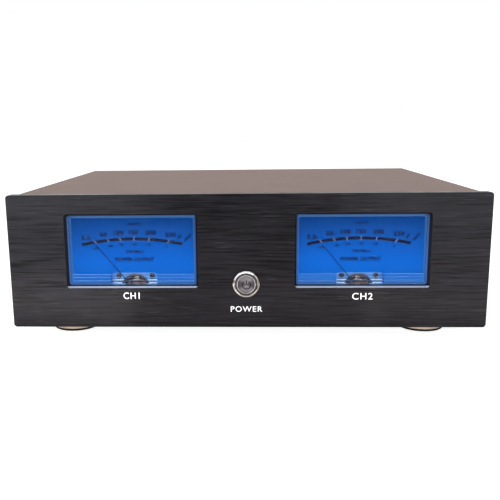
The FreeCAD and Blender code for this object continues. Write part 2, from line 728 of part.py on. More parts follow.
def level_pots():
    """Rotary controls behind the panel, each with a threaded bush through it and a nut outside."""
    pots = []
    inside = REAR_FACE - REAR_T
    for x in LEVEL_X:
        outline = [
            (0, 296.5), (8.0, 296.5), (8.0, inside), (3.5, inside), (3.5, REAR_FACE),
            (5.5, REAR_FACE), (5.5, REAR_FACE + 2.0), (3.5, REAR_FACE + 2.0), (3.5, 312.0),
            (3.0 + RUNNING, 312.0), (3.0 + RUNNING, 298.8), (0, 298.8),
        ]
        pots.append(turned(outline, Vector(x, 0, LEVEL_Z), Y))
    return Part.makeCompound(pots)


def level_shaft(x):
    """The control's shaft, slotted for a screwdriver."""
    shaft = rod(3.0, 299.0, 313.0, x, LEVEL_Z)
    return shaft.cut(block(x - 0.5, x + 0.5, 311.5, 314.0, LEVEL_Z - 4, LEVEL_Z + 4))


# ---- everything

os.makedirs("parts", exist_ok=True)

SINGLE = [
    front_panel, top_cover, base_pan, rear_panel, case_screws, front_panel_screws, foot_pads, foot_screws,
    meter_screws, bridge_screws, switch_body, switch_ring, switch_cap, switch_nut, switch_spring,
    switch_contacts, driver_board, board_parts, transformer, mains_inlet, inlet_pins, post_bases,
    post_insulators, level_pots,
]
for make in SINGLE:
    save(make.__name__, make())

PER_METER = [
    meter_case, meter_cover, dial_plate, diffuser, led_board, yoke, core, front_bridge, rear_bridge,
    coil, pointer, hairsprings, zero_adjuster,
]
for side, middle in (("left", -METER_X), ("right", METER_X)):
    for make in PER_METER:
        save(side + "_" + make.__name__, make(middle))

FOOT_NAMES = ["foot_front_left", "foot_rear_left", "foot_front_right", "foot_rear_right"]
for name, (x, y) in zip(FOOT_NAMES, foot_points()):
    save(name, foot(x, y))

for name, x in zip(POST_NAMES, POST_X):
    save(name, post_cap(x))

for name, x in zip(["left_level_shaft", "right_level_shaft"], LEVEL_X):
    save(name, level_shaft(x))
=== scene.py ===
import math

import bpy
from mathutils import Matrix, Vector


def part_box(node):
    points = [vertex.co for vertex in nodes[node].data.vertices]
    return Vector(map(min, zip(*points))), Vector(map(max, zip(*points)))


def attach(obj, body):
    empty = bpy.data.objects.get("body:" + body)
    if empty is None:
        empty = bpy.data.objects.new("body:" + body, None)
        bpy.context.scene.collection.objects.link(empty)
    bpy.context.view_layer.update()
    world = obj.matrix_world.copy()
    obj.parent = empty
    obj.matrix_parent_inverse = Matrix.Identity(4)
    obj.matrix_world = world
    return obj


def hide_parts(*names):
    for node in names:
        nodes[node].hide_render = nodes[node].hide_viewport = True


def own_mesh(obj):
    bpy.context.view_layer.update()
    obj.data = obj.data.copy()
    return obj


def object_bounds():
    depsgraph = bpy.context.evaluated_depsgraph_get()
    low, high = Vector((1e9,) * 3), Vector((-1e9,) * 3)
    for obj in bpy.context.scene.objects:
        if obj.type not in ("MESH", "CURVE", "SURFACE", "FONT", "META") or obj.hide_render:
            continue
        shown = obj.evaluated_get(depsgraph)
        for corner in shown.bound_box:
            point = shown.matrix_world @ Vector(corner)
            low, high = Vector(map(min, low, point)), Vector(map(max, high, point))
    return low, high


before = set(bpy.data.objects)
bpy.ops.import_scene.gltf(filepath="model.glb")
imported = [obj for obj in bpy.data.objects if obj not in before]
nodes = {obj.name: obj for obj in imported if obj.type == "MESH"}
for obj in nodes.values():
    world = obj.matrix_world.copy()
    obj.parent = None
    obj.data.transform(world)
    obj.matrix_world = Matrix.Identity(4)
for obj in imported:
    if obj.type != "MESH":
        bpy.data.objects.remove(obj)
cadLow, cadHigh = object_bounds()
mm = 0.001


def middleOf(name):
    low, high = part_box(name)
    return tuple((low[i] + high[i]) / 2 for i in range(3))


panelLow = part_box("front_panel")[0]
panelFace = panelLow.y  # the front of the panel, towards the viewer
panelFoot = panelLow.z  # its lower edge; heights on the front are counted from here
rearFace = (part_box("rear_panel")[1].y - panelFace) / mm  # the back of the case, in mm behind that front
meterX = {side: middleOf(side + "_dial_plate")[0] for side in ("left", "right")}
slotNames = {name: piece.material_slots[0].material.name for name, piece in nodes.items()}
print("frame loaded,", len(nodes), "nodes")


def spot(x, y, z):
    # mm across from the middle, back from the panel's face and up from its lower edge
    return Vector((x * mm, panelFace + y * mm, panelFoot + z * mm))


# what all materials share

black = (0.0, 0.0, 0.0, 1.0)
white = (1.0, 1.0, 1.0, 1.0)


def linear(red, green, blue):
    # a screen colour of 0 to 255 as the shader's own linear one
    parts = [c / 255 for c in (red, green, blue)]
    return tuple(c / 12.92 if c <= 0.04045 else ((c + 0.055) / 1.055) ** 2.4 for c in parts) + (1.0,)


def fillSockets(tree, node, values):
    # what comes from another node is linked, anything else is set on the socket itself
    for key, value in values.items():
        if isinstance(value, bpy.types.NodeSocket):
            tree.links.new(value, node.inputs[key])
        else:
            node.inputs[key].default_value = value


def addNode(tree, kind, inputs=None, **settings):
    node = tree.nodes.new("ShaderNode" + kind)
    for key, value in settings.items():
        setattr(node, key, value)
    fillSockets(tree, node, inputs or {})
    return node


def calculate(tree, operation, first, second=0.0, third=0.0):
    return addNode(tree, "Math", {0: first, 1: second, 2: third}, operation=operation).outputs[0]


def multiply(tree, first, *others):
    for other in others:
        first = calculate(tree, "MULTIPLY", first, other)
    return first


def between(tree, value, low, high):
    # low where the value is nought, high where it is one
    return addNode(tree, "MapRange", {"Value": value, "To Min": low, "To Max": high}).outputs[0]


def ramped(tree, value, start, end):
    # nought at the start, one at the end
    return addNode(tree, "MapRange", {"Value": value, "From Min": start, "From Max": end}).outputs[0]


def seenRays(tree):
    # straight, mirrored and through glass: the rays that show the white surroundings
    path = addNode(tree, "LightPath").outputs
    both = calculate(tree, "MAXIMUM", path["Is Camera Ray"], path["Is Glossy Ray"])
    return calculate(tree, "MAXIMUM", both, path["Is Transmission Ray"])


def clearSelection():
    if bpy.context.mode != "OBJECT":
        bpy.ops.object.mode_set(mode="OBJECT")
    bpy.ops.object.select_all(action="DESELECT")


# camera, stage and lamps

# place in metres, angles in radians, the lens and its sensor in mm
cameraSet = {
    "lens": 47.37,
    "sensor": 36.0,
    "place": (0.00335, -0.74074, 0.19453),
    "turn": 0.0433,
    "dip": 0.1894,
    "lean": -0.0117,
    "shift": 0.0564,
}


def makeCamera():
    eye = bpy.data.objects.new("camera", bpy.data.cameras.new("camera"))
    bpy.context.scene.collection.objects.link(eye)
    eye.data.lens = cameraSet["lens"]
    eye.data.sensor_width = cameraSet["sensor"]
    eye.data.shift_x = cameraSet["shift"]
    eye.data.clip_start = 0.01
    turn = Matrix.Rotation(cameraSet["turn"], 4, "Z")
    dip = Matrix.Rotation(math.pi / 2 - cameraSet["dip"], 4, "X")
    lean = Matrix.Rotation(cameraSet["lean"], 4, "Z")
    eye.matrix_world = Matrix.Translation(cameraSet["place"]) @ turn @ dip @ lean
    bpy.context.scene.camera = eye


stageSet = {
    "floor": 12.0, "gap": 0.0002, "floorTone": 0.60, "floorRough": 0.9, "floorGlow": 0.84, "worldFill": 0.42,
}


def makeWorld():
    world = bpy.data.worlds.new("studio")
    bpy.context.scene.world = world
    world.use_nodes = True
    tree = world.node_tree
    strength = between(tree, seenRays(tree), stageSet["worldFill"], 1.0)
    fillSockets(tree, tree.nodes["Background"], {"Color": white, "Strength": strength})


def makeFloor():
    clearSelection()
    bpy.ops.mesh.primitive_plane_add(size=stageSet["floor"], location=(0, 0, cadLow.z - stageSet["gap"]))
    floor = bpy.context.object
    floor.name = "floor"
    bpy.ops.object.transform_apply(location=True)
    finish = bpy.data.materials.new("floor")
    finish.use_nodes = True
    tree = finish.node_tree
    tone = stageSet["floorTone"]
    fillSockets(tree, tree.nodes["Principled BSDF"], {
        "Base Color": (tone, tone, tone, 1.0),
        "Roughness": stageSet["floorRough"],
        "Emission Color": white,
        "Emission Strength": multiply(tree, seenRays(tree), stageSet["floorGlow"]),
    })
    floor.data.materials.append(finish)


lampSet = {
    "key": {"place": (-0.95, -1.45, 0.95), "aim": (-0.10, -0.16, 0.06), "wide": 0.7, "high": 0.9,
            "power": 9.0, "colour": (0.95, 0.97, 1.0)},
    "left": {"place": (-0.38, -0.82, 0.16), "aim": (-0.17, -0.16, 0.07), "wide": 0.38, "high": 0.20,
             "power": 2.7, "colour": (0.88, 0.96, 1.0)},
    "right": {"place": (0.37, -0.82, 0.16), "aim": (0.16, -0.16, 0.07), "wide": 0.38, "high": 0.20,
              "power": 2.3, "colour": (0.94, 0.96, 1.0)},
    "table": {"place": (-0.08, -0.265, 0.002), "aim": (-0.08, -0.265, 1.0), "wide": 0.44, "high": 0.10,
              "power": 0.46, "colour": (1.0, 0.84, 0.80)},
    "tableLeft": {"place": (-0.22, -0.265, 0.002), "aim": (-0.22, -0.265, 1.0), "wide": 0.20, "high": 0.10,
                  "power": 0.38, "colour": (1.0, 0.93, 0.90)},
    "tableRight": {"place": (0.21, -0.265, 0.002), "aim": (0.21, -0.265, 1.0), "wide": 0.18, "high": 0.10,
                   "power": 0.29, "colour": (1.0, 0.89, 0.86)},
    "top": {"place": (0.0, 0.25, 1.60), "aim": (0, 0.05, 0.10), "wide": 1.2, "high": 1.2,
            "power": 12.0, "colour": (1.0, 0.97, 0.95)},
}


def makeLamps():
    for name, lamp in lampSet.items():
        light = bpy.data.lights.new(name, "AREA")
        light.shape = "RECTANGLE"
        light.size = lamp["wide"]
        light.size_y = lamp["high"]
        light.energy = lamp["power"]
        light.color = lamp["colour"]
        holder = bpy.data.objects.new(name, light)
        bpy.context.scene.collection.objects.link(holder)
        holder.visible_camera = False
        holder.visible_transmission = False
        way = Vector(lamp["aim"]) - Vector(lamp["place"])
        turn = way.to_track_quat("-Z", "Y").to_matrix().to_4x4()
        holder.matrix_world = Matrix.Translation(lamp["place"]) @ turn


# effects that several finishes share

def startGroup(name, outputs, **inputs):
    # every effect reads a vector; the other inputs have the kind of the value they start with
    group = bpy.data.node_groups.new(name, "ShaderNodeTree")
    group.interface.new_socket(name="Vector", in_out="INPUT", socket_type="NodeSocketVector")
    for socket, value in inputs.items():
        kind = "NodeSocketVector" if isinstance(value, tuple) else "NodeSocketFloat"
        group.interface.new_socket(name=socket, in_out="INPUT", socket_type=kind).default_value = value
    for socket in outputs:
        group.interface.new_socket(name=socket, in_out="OUTPUT", socket_type="NodeSocketFloat")
    return group, group.nodes.new("NodeGroupInput").outputs, group.nodes.new("NodeGroupOutput")


def addNoise(tree, vector, scale, detail):
    return addNode(tree, "TexNoise", {"Vector": vector, "Scale": scale, "Detail": detail}).outputs[0]


def changeVector(tree, operation, first, second):
    return addNode(tree, "VectorMath", {0: first, 1: second}, operation=operation).outputs[0]


def lengthOf(tree, vector):
    return addNode(tree, "VectorMath", {0: vector}, operation="LENGTH").outputs["Value"]


def splitAxes(tree, vector):
    return addNode(tree, "SeparateXYZ", {0: vector}).outputs


def facingWay(tree):
    return splitAxes(tree, addNode(tree, "NewGeometry").outputs["Normal"])


def blend(tree, factor, first, second):
    return addNode(tree, "Mix", {"Factor": factor, "A": first, "B": second}).outputs[0]


def blendColours(tree, factor, first, second):
    # the node's sockets for colours are these, its first ones are for plain values
    return addNode(tree, "Mix", {0: factor, 6: first, 7: second}, data_type="RGBA").outputs[2]


def makeGrain():
    # a fine grain and a slow cloudiness, for paint, moulded plastic and cast metal; sizes are in mm
    group, given, out = startGroup("surfaceGrain", ["Fine", "Cloudy"], Size=0.5, Cloud=40.0)
    for mask, size, detail in (("Fine", "Size", 2.0), ("Cloudy", "Cloud", 4.0)):
        scale = calculate(group, "DIVIDE", 1 / mm, given[size])
        noise = addNoise(group, given["Vector"], scale, detail)
        fillSockets(group, out, {mask: ramped(group, noise, 0.3, 0.7)})


def makeHairlines():
    # long thin streaks; Along is how many streaks go in a metre each way
    outputs = ["Streaks", "Scratches"]
    group, given, out = startGroup("hairlines", outputs, Along=(14.0, 14.0, 1500.0), Broad=0.5)
    thin = changeVector(group, "MULTIPLY", given["Vector"], given["Along"])
    wide = addNode(group, "VectorMath", {0: thin, "Scale": 0.28}, operation="SCALE").outputs[0]
    fine = addNoise(group, thin, 1.0, 3.0)
    mixed = blend(group, given["Broad"], fine, addNoise(group, wide, 1.0, 2.0))
    streaks = ramped(group, mixed, 0.32, 0.68)
    fillSockets(group, out, {"Streaks": streaks, "Scratches": ramped(group, fine, 0.62, 0.72)})


def makeEdgeRub():
    # where a finish is thin or polished along an edge, broken up by noise
    group, given, out = startGroup("edgeRub", ["Mask"], Width=0.0004, Patchy=90.0)
    rounded = addNode(group, "Bevel", {"Radius": given["Width"]}, samples=4).outputs[0]
    plain = addNode(group, "NewGeometry").outputs["Normal"]
    match = addNode(group, "VectorMath", {0: rounded, 1: plain}, operation="DOT_PRODUCT").outputs["Value"]
    edge = ramped(group, match, 0.99, 0.85)
    broken = ramped(group, addNoise(group, given["Vector"], given["Patchy"], 3.0), 0.35, 0.65)
    fillSockets(group, out, {"Mask": multiply(group, edge, broken)})


def makeDust():
    # a thin fall of dust on what faces up
    group, given, out = startGroup("settledDust", ["Mask"], Amount=0.2)
    level = ramped(group, facingWay(group)["Z"], 0.6, 1.0)
    drift = ramped(group, addNoise(group, given["Vector"], 18.0, 8.0), 0.35, 0.75)
    flecks = ramped(group, addNoise(group, given["Vector"], 700.0, 1.0), 0.62, 0.70)
    fallen = calculate(group, "MAXIMUM", flecks, drift)
    fillSockets(group, out, {"Mask": multiply(group, fallen, level, given["Amount"])})


def makeTurningMarks():
    # rings round the Z axis of the vector, as a lathe leaves them; the pitch is in mm
    group, given, out = startGroup("turningMarks", ["Rings"], Pitch=0.2)
    flat = changeVector(group, "MULTIPLY", given["Vector"], (1.0, 1.0, 0.0))
    count = calculate(group, "DIVIDE", multiply(group, lengthOf(group, flat), 1 / mm), given["Pitch"])
    noise = addNode(group, "TexNoise", {"W": count, "Scale": 1.0, "Detail": 1.0}, noise_dimensions="1D")
    fillSockets(group, out, {"Rings": ramped(group, noise.outputs[0], 0.3, 0.7)})


def makeWindings():
    # round wires side by side across the X axis of the vector; the pitch is in mm
    group, given, out = startGroup("windings", ["Rise"], Pitch=0.15)
    along = multiply(group, splitAxes(group, given["Vector"])["X"], 1 / mm)
    turns = calculate(group, "DIVIDE", along, given["Pitch"])
    wave = calculate(group, "SINE", multiply(group, turns, math.pi))
    fillSockets(group, out, {"Rise": calculate(group, "ABSOLUTE", wave)})


def placeGroup(tree, name, **inputs):
    node = tree.nodes.new("ShaderNodeGroup")
    node.node_tree = bpy.data.node_groups[name]
    fillSockets(tree, node, inputs)
    return node.outputs


def placeGrain(tree, where, size, cloud):
    return placeGroup(tree, "surfaceGrain", Vector=where, Size=size, Cloud=cloud)


def startFinish(name):
    finish = bpy.data.materials.new(name)
    finish.use_nodes = True
    tree = finish.node_tree
    return finish, tree, tree.nodes["Principled BSDF"], addNode(tree, "TexCoord").outputs["Object"]


def bump(tree, shader, height, depth):
    node = addNode(tree, "Bump", {"Height": height, "Distance": depth * mm, "Strength": 1.0})
    fillSockets(tree, shader, {"Normal": node.outputs[0]})


def mixTones(tree, first, second, share):
    # that share of the first and the rest of the second
    return calculate(tree, "MULTIPLY_ADD", first, share, multiply(tree, second, 1 - share))


def stepAt(tree, value, place, soft):
    # from nought to one over a short way on both sides of a place
    return ramped(tree, value, place - soft, place + soft)


def insideBand(tree, value, datum, low, high, soft):
    # one between low and high, which are in mm from the datum
    rising = stepAt(tree, value, datum + low * mm, soft * mm)
    falling = stepAt(tree, value, datum + high * mm, -soft * mm)
    return multiply(tree, rising, falling)


def distance(tree, value, middle):
    return calculate(tree, "ABSOLUTE", calculate(tree, "SUBTRACT", value, middle))


def addRamp(tree, value, stops):
    # each stop is a place from nought to one and a screen colour
    ramp = addNode(tree, "ValToRGB", {0: value})
    made = ramp.color_ramp.elements
    stops = [(place, linear(*tone)) for place, *tone in stops]
    for place, colour in stops[1:-1]:
        made.new(place).color = colour
    made[0].position, made[0].color = stops[0]
    made[-1].position, made[-1].color = stops[-1]
    return ramp.outputs[0]


# finishes

# a plain finish has these unless its own entry says otherwise; grain, cloud and bump: the sizes of its grain
# and clouds and the depth of its bumps in mm; pale: the heights in mm between which it fades downwards to
# another colour, a painted highlight; rub: the colour along worn edges; glow: how strongly it shines by
# itself
plainFinish = {"metal": 0.0, "shine": 0.5, "grain": 0.4, "cloud": 40.0, "bump": 0.0}
plainFinishes = {
    "cover_paint": {"dark": linear(116, 95, 88), "light": linear(121, 100, 93), "rough": (0.50, 0.66),
                    "grain": 0.45, "bump": 0.030, "shine": 0.22, "rub": linear(150, 138, 130), "dust": 0.06},
    "case_steel": {"dark": linear(38, 38, 39), "light": linear(46, 46, 47), "rough": (0.42, 0.60),
                   "grain": 0.6, "bump": 0.025, "shine": 0.4, "rub": linear(96, 96, 96), "dust": 0.06},
    "screw_black": {"dark": linear(30, 30, 32), "light": linear(52, 52, 54), "rough": (0.30, 0.50),
                    "grain": 0.25, "bump": 0.006, "metal": 0.9, "rub": linear(120, 118, 116)},
    "screw_steel": {"dark": linear(150, 150, 152), "light": linear(190, 190, 192), "rough": (0.22, 0.42),
                    "grain": 0.3, "bump": 0.004, "metal": 1.0},
    "rubber_black": {"dark": linear(15, 15, 16), "light": linear(27, 26, 26), "rough": (0.75, 0.95),
                     "grain": 0.35, "bump": 0.020, "shine": 0.2, "dust": 0.1},
    "housing_plastic": {"dark": linear(28, 28, 30), "light": linear(36, 36, 38), "rough": (0.40, 0.55),
                        "grain": 0.5, "bump": 0.012, "shine": 0.4},
    "part_dark": {"dark": linear(32, 32, 36), "light": linear(48, 48, 54), "rough": (0.25, 0.45),
                  "bump": 0.006},
    "iron_dark": {"dark": linear(52, 48, 54), "light": linear(84, 78, 84), "rough": (0.35, 0.55),
                  "grain": 0.5, "bump": 0.010, "metal": 0.8, "rub": linear(170, 165, 165)},
    "magnet_grey": {"dark": linear(140, 126, 128), "light": linear(186, 172, 172), "rough": (0.25, 0.45),
                    "grain": 0.3, "bump": 0.006, "metal": 0.7},
    # the bridge's blue is the dial's backlight painted onto its plated metal, and low down it fades to a
    # painted highlight
    "bridge_light": {"dark": linear(64, 118, 176), "light": linear(88, 142, 202), "rough": (0.35, 0.55),
                     "bump": 0.010, "metal": 0.2, "shine": 0.3, "paleHighlight": (40.8, 39.4, linear(206, 226, 246))},
    "needle_dark": {"dark": linear(6, 24, 66), "light": linear(10, 32, 82), "rough": (0.35, 0.50),
                    "grain": 0.2, "bump": 0.002, "shine": 0.04},
    "spring_bronze": {"dark": linear(166, 120, 66), "light": linear(206, 160, 98), "rough": (0.20, 0.35),
                      "grain": 0.2, "bump": 0.002, "metal": 1.0},
    "post_brass": {"dark": linear(206, 162, 84), "light": linear(236, 198, 120), "rough": (0.12, 0.26),
                   "grain": 0.3, "bump": 0.003, "metal": 1.0},
    "plastic_red": {"dark": linear(150, 16, 18), "light": linear(178, 26, 24), "rough": (0.22, 0.36),
                    "bump": 0.004},
    "plastic_black": {"dark": linear(22, 22, 24), "light": linear(34, 34, 36), "rough": (0.24, 0.42),
                      "bump": 0.005, "rub": linear(70, 70, 72)},
    "ring_smoke": {"dark": linear(30, 26, 28), "light": linear(48, 42, 44), "rough": (0.12, 0.25),
                   "cloud": 5.0},
}
# screen-printed inks, a little uneven
inkFinish = {**plainFinish, "grain": 0.25, "cloud": 3.0, "bump": 0.004}
inkFinishes = {
    "legend_white": {"dark": linear(226, 227, 230), "light": linear(244, 244, 246), "rough": (0.42, 0.58)},
    "dial_ink": {"dark": linear(7, 14, 34), "light": linear(11, 20, 44), "rough": (0.52, 0.68),
                 "shine": 0.04},
    "dial_tick": {"dark": linear(92, 120, 170), "light": linear(106, 134, 184), "rough": (0.52, 0.68),
                  "shine": 0.04, "glow": 0.3},
    "symbol_dark": {"dark": linear(16, 14, 24), "light": linear(26, 23, 34), "rough": (0.42, 0.58),
                    "shine": 0.05},
}
dustSet = {"colour": linear(176, 170, 162), "rough": 0.95}


def makePlainFinish(name, look):
    finish, tree, shader, where = startFinish(name)
    grain = placeGrain(tree, where, look["grain"], look["cloud"])
    colour = blendColours(tree, grain["Cloudy"], look["dark"], look["light"])
    rough = between(tree, grain["Fine"], *look["rough"])
    # a painted highlight, fading in downwards
    if "paleHighlight" in look:
        high, low, paleHighlight = look["paleHighlight"]
        fade = ramped(tree, splitAxes(tree, where)["Z"], panelFoot + high * mm, panelFoot + low * mm)
        colour = blendColours(tree, fade, colour, paleHighlight)
    if "rub" in look:
        edge = placeGroup(tree, "edgeRub", Vector=where)["Mask"]
        colour = blendColours(tree, edge, colour, look["rub"])
    if "dust" in look:
        lying = placeGroup(tree, "settledDust", Vector=where, Amount=look["dust"])["Mask"]
        colour = blendColours(tree, lying, colour, dustSet["colour"])
        rough = blend(tree, lying, rough, dustSet["rough"])
    if "glow" in look:
        fillSockets(tree, shader, {"Emission Color": colour, "Emission Strength": look["glow"]})
    fillSockets(tree, shader, {
        "Base Color": colour,
        "Roughness": rough,
        "Metallic": look["metal"],
        "Specular IOR Level": look["shine"],
    })
    if look["bump"]:
        bump(tree, shader, grain["Fine"], look["bump"])
    return finish


# brushed and scratched: how many streaks go in a metre each way; recess: the inner walls of the windows,
# darkened with painted shade; sill: the machined slope below each window, which gets a bluish painted
# highlight where it faces up;
# reach, heights, depths and fades in mm from the foot and face
panelSet = {
    "dark": linear(3, 2, 3),
    "light": linear(29, 28, 32),
    "brushed": (26.0, 26.0, 720.0),
    "broad": 0.1,
    "cloud": 45.0,
    "brushShare": 0.8,
    "scratched": (30.0, 30.0, 1100.0),
    "scratchShare": 0.5,
    "line": linear(61, 61, 65),
    "edge": linear(52, 54, 58),
    "rough": (0.22, 0.40),
    "shine": 0.10,
    "stretch": 0.7,
    "metal": (0.35, 1.0),
    "bump": 0.02,
    "recess": {"reach": 172.0, "front": 0.3, "back": 9.8, "colour": linear(4, 5, 7)},
    "sill": {"low": 36.95, "high": 38.4, "front": 0.05, "back": 1.55, "fade": 0.02,
             "upwards": (0.30, 0.40), "colour": linear(154, 163, 182)},
}


def makePanelFinish():
    # black anodised aluminium, brushed from side to side, with painted shade in the windows' recesses and a
    # painted highlight on the sills, shown as bright bare metal
    finish, tree, shader, where = startFinish("anodised_black")
    brushed, broad = panelSet["brushed"], panelSet["broad"]
    lines = placeGroup(tree, "hairlines", Vector=where, Along=brushed, Broad=broad)["Streaks"]
    slow = placeGrain(tree, where, 0.5, panelSet["cloud"])["Cloudy"]
    tone = mixTones(tree, lines, slow, panelSet["brushShare"])
    colour = blendColours(tree, tone, panelSet["dark"], panelSet["light"])
    fine = placeGroup(tree, "hairlines", Vector=where, Along=panelSet["scratched"], Broad=0.0)["Scratches"]
    scratches = multiply(tree, fine, panelSet["scratchShare"])
    colour = blendColours(tree, scratches, colour, panelSet["line"])
    # lighter along the edges: edge wear, and a painted highlight along them
    edge = placeGroup(tree, "edgeRub", Vector=where, Width=0.3 * mm)["Mask"]
    colour = blendColours(tree, edge, colour, panelSet["edge"])
    split = splitAxes(tree, where)
    recess, sill = panelSet["recess"], panelSet["sill"]
    # painted shade on the inner walls of the windows
    across = insideBand(tree, split["X"], 0.0, -recess["reach"], recess["reach"], 1.0)
    inward = insideBand(tree, split["Y"], panelFace, recess["front"], recess["back"], 0.1)
    colour = blendColours(tree, multiply(tree, across, inward), colour, recess["colour"])
    # painted highlight on the sills: bright bluish metal on the up-facing slope below each window
    height = insideBand(tree, split["Z"], panelFoot, sill["low"], sill["high"], sill["fade"])
    depth = insideBand(tree, split["Y"], panelFace, sill["front"], sill["back"], sill["fade"])
    upwards = ramped(tree, facingWay(tree)["Z"], *sill["upwards"])
    sillHighlight = multiply(tree, height, depth, upwards)
    fillSockets(tree, shader, {
        "Base Color": blendColours(tree, sillHighlight, colour, sill["colour"]),
        "Roughness": between(tree, lines, *panelSet["rough"]),
        "Metallic": between(tree, sillHighlight, *panelSet["metal"]),
        "Specular IOR Level": panelSet["shine"],
        "Anisotropic": panelSet["stretch"],
        "Anisotropic Rotation": 0.25,  # a quarter turn
    })
    bump(tree, shader, lines, panelSet["bump"])
    return finish


# rim: the distances from its axis in mm between which a turned face gets lighter, a painted highlight ring;
# flank: where it darkens at its sides, as shares of a radius, the painted shade of a turned face's dark side
# arms; rings: how much the lathe's rings count, beside the clouds
turnedFinishes = {
    "foot_metal": {"axis": "Z", "pitch": 0.25, "dark": linear(154, 134, 117), "light": linear(196, 175, 157),
                   "rough": (0.22, 0.40), "rings": 0.6, "bump": 0.003},
    "cap_steel": {"axis": "Y", "pitch": 0.45, "dark": linear(70, 68, 71), "light": linear(103, 100, 103),
                  "rough": (0.28, 0.42), "rings": 0.6, "bump": 0.003, "rim": (7.7, 8.0),
                  "rimHighlight": linear(164, 160, 162), "shadedFlank": (0.70, 0.96), "side": linear(54, 51, 52)},
}


def makeTurnedFinish(name, look, centre):
    finish, tree, shader, where = startFinish(name)
    turn = (math.pi / 2 if look["axis"] == "Y" else 0.0, 0.0, 0.0)
    centred = changeVector(tree, "SUBTRACT", where, centre)
    placed = addNode(tree, "Mapping", {"Vector": centred, "Rotation": turn}).outputs[0]  # its axis is Z now
    rings = placeGroup(tree, "turningMarks", Vector=placed, Pitch=look["pitch"])["Rings"]
    cloudy = placeGrain(tree, where, 0.3, 8.0)["Cloudy"]
    worn = mixTones(tree, rings, cloudy, look["rings"])
    colour = blendColours(tree, worn, look["dark"], look["light"])
    # painted shade on the sides of the cap and a painted highlight on its rim
    if "rim" in look:
        flat = changeVector(tree, "MULTIPLY", placed, (1.0, 1.0, 0.0))
        reach = lengthOf(tree, flat)
        aside = calculate(tree, "ABSOLUTE", splitAxes(tree, flat)["X"])
        shadeShare = calculate(tree, "DIVIDE", aside, reach)
        colour = blendColours(tree, ramped(tree, shadeShare, *look["shadedFlank"]), colour, look["side"])
        near, far = look["rim"]
        rim = ramped(tree, reach, near * mm, far * mm)
        colour = blendColours(tree, rim, colour, look["rimHighlight"])
    smooth, dull = look["rough"]
    fillSockets(tree, shader, {
        "Base Color": colour,
        "Roughness": between(tree, worn, dull, smooth),
        "Metallic": 1.0,
    })
    bump(tree, shader, rings, look["bump"])
    return finish


# the tones are painted reflections on the polished steel, the colours of the surroundings that it mirrors,
# with a painted highlight and a dark painted reflection among them; turn: where they stand, in shares of a
# turn from the left by way of the bottom; hole: where the painted shade on the dark inner edge starts and is
# full, in mm from the axis, drawn out to the right
bezelSet = {
    "reflectionTones": {"warm": (130, 125, 120), "straw": (102, 96, 90), "bright": (208, 208, 210),
              "cool": (126, 126, 128), "spot": (70, 70, 72)},
    "turn": [(0.0, "warm"), (0.29, "warm"), (0.35, "straw"), (0.64, "straw"), (0.67, "bright"),
             (0.77, "bright"), (0.89, "cool"), (0.94, "cool"), (0.96, "spot"), (1.0, "warm")],
    "dull": linear(150, 148, 150), "dulled": 0.08, "rough": (0.05, 0.14),
    "hole": (9.9, 9.6), "drawn": 0.045, "inner": linear(30, 26, 26),
}


def makeBezelFinish(centre):
    # polished steel; its colour is painted reflections: a painted highlight along the top, a straw-coloured
    # painted reflection at the lower right, a dark painted reflection at the left, and painted shade on the
    # inner edge
    finish, tree, shader, where = startFinish("bezel_chrome")
    centred = changeVector(tree, "SUBTRACT", where, centre)
    split = splitAxes(tree, centred)
    angle = calculate(tree, "ARCTAN2", split["Z"], split["X"])
    stops = [(place, *bezelSet["reflectionTones"][name]) for place, name in bezelSet["turn"]]
    # the painted reflections and highlight round the ring, by angle
    tint = addRamp(tree, ramped(tree, angle, -math.pi, math.pi), stops)
    grain = placeGrain(tree, where, 0.3, 5.0)
    dulled = blendColours(tree, bezelSet["dulled"], tint, bezelSet["dull"])
    steel = blendColours(tree, grain["Cloudy"], dulled, tint)
    reach = lengthOf(tree, changeVector(tree, "MULTIPLY", centred, (1.0, 0.0, 1.0)))
    right = calculate(tree, "MAXIMUM", split["X"], 0.0)
    drawn = calculate(tree, "MULTIPLY_ADD", right, -bezelSet["drawn"], reach)
    # painted shade on the inner edge of the ring
    start, full = bezelSet["hole"]
    inner = ramped(tree, drawn, start * mm, full * mm)
    fillSockets(tree, shader, {
        "Base Color": blendColours(tree, inner, steel, bezelSet["inner"]),
        "Roughness": between(tree, grain["Fine"], *bezelSet["rough"]),
        "Metallic": 1.0,
    })
    return finish


# the moulding's walls, rims and ribs get a painted glow, standing in for the dial's light that they catch;
# places are in mm
lensSet = {
    "face": 0.97, "wall": 0.80,  # how squarely a face and a wall look forwards
    "middle": 70.8, "across": 56.3, "up": 29.8, "rimSoft": 0.1,  # where the rims of a window are
    "cutOut": (21.0, 55.0), "cutSoft": 0.5,  # half width and top of the dial's cut-out
    # rim: how much painted glow the rims get; dimmed: what is left of it in front of the cut-out
    "rim": 0.6, "dimmed": 0.15,  # how much rims show, and what is left of it in front of the cut-out
    "glow": (0.032, 0.048, 0.068, 1.0), "ribGlow": (0.022, 0.145, 0.40, 1.0),
    "tint": linear(112, 120, 132), "clean": linear(252, 253, 255), "hazy": linear(246, 249, 254),
    "rough": (0.0, 0.004), "wallRough": 0.20, "index": 1.10,
}


